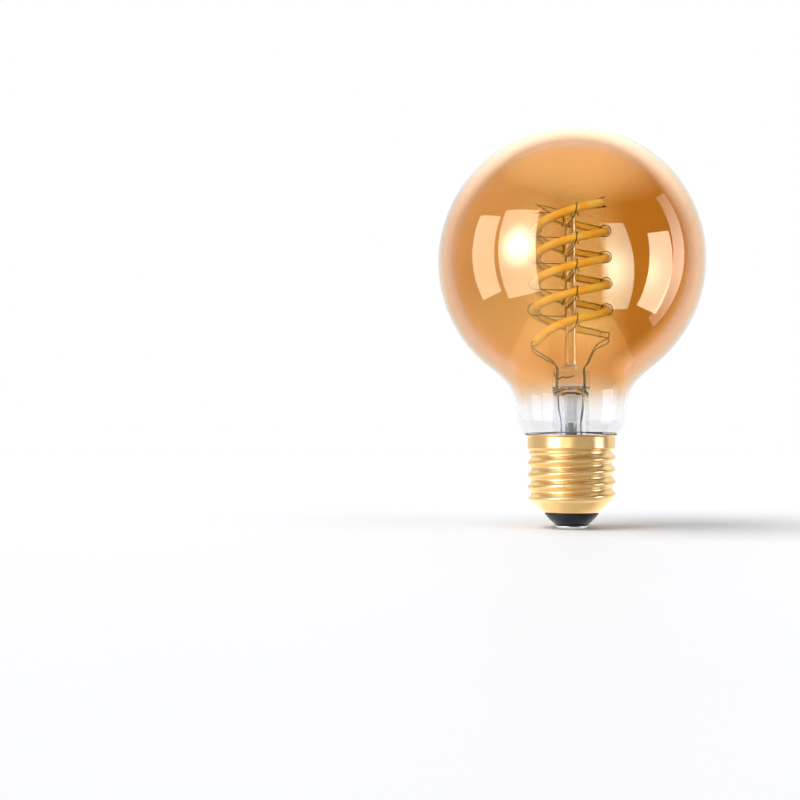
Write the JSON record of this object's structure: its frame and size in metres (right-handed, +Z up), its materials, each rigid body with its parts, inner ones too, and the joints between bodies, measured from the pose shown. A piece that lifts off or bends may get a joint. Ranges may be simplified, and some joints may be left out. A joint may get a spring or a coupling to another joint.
{
  "type": "filament light bulb",
  "caption": "Amber glass globe filament bulb with a spiral pair of light strips, glass mount and Edison screw cap.",
  "frame": {"origin": "centre of the centre contact's flat bottom face", "axes": "+Z up the lamp axis, from the contact to the crown of the globe; front is -Y"},
  "size_m": [0.0798, 0.0798, 0.12],
  "materials": {
    "amber_glass": "smooth amber-coated glass, clear at the neck",
    "black_insulator": "black vitrified insulator",
    "can_metal": "satin tinned or aluminium can",
    "carrier_film": "flexible carrier film",
    "cement": "grey basing cement",
    "circuit_board": "green solder mask",
    "clear_glass": "smooth clear glass",
    "contact_metal": "satin nickel plate",
    "copper_wire": "enamelled copper wire",
    "ferrite": "sintered ferrite",
    "gold_shell": "satin gold-toned pressed metal",
    "hook_wire": "dark drawn wire",
    "lead_wire": "nickel-plated wire",
    "package_black": "moulded black package",
    "phosphor_silicone": "amber-yellow phosphor silicone",
    "red_sleeve": "red wire sleeve",
    "resistor_body": "blue lacquer",
    "terminal_metal": "nickel-plated strip",
    "white_plastic": "white heat-proof plastic"
  },
  "bodies": {
    "root": {"basing_cement": "cement", "bridge_rectifier": "package_black", "bridge_wire_cool": "lead_wire", "bridge_wire_warm": "lead_wire", "bulk_capacitor": "can_metal", "cap_insulator": "black_insulator", "centre_contact": "contact_metal", "cool_channel_switch": "package_black", "driver_board": "circuit_board", "exhaust_tube": "clear_glass", "filament_a_carrier": "carrier_film", "filament_a_lower_cool_terminal": "terminal_metal", "filament_a_lower_warm_terminal": "terminal_metal", "filament_a_silicone": "phosphor_silicone", "filament_a_upper_cool_terminal": "terminal_metal", "filament_a_upper_warm_terminal": "terminal_metal", "filament_b_carrier": "carrier_film", "filament_b_lower_cool_terminal": "terminal_metal", "filament_b_lower_warm_terminal": "terminal_metal", "filament_b_silicone": "phosphor_silicone", "filament_b_upper_cool_terminal": "terminal_metal", "filament_b_upper_warm_terminal": "terminal_metal", "fusible_resistor": "resistor_body", "glass_envelope": "amber_glass", "inductor_core": "ferrite", "inductor_winding": "copper_wire", "insulating_liner": "white_plastic", "lead_wire_a_cool": "lead_wire", "lead_wire_a_warm": "lead_wire", "lead_wire_b_cool": "lead_wire", "lead_wire_b_warm": "lead_wire", "live_wire": "red_sleeve", "neutral_wire": "white_plastic", "radio_antenna": "circuit_board", "radio_module": "can_metal", "screw_shell": "gold_shell", "stem_flare": "clear_glass", "support_hook_back_1": "hook_wire", "support_hook_back_2": "hook_wire", "support_hook_back_3": "hook_wire", "support_hook_back_4": "hook_wire", "support_hook_front_1": "hook_wire", "support_hook_front_2": "hook_wire", "support_hook_front_3": "hook_wire", "support_hook_front_4": "hook_wire", "support_hook_front_5": "hook_wire", "support_hook_left_1": "hook_wire", "support_hook_left_2": "hook_wire", "support_hook_left_3": "hook_wire", "support_hook_left_4": "hook_wire", "support_hook_right_1": "hook_wire", "support_hook_right_2": "hook_wire", "support_hook_right_3": "hook_wire", "support_hook_right_4": "hook_wire", "support_rod": "clear_glass", "warm_channel_switch": "package_black"}
  },
  "joints": []
}
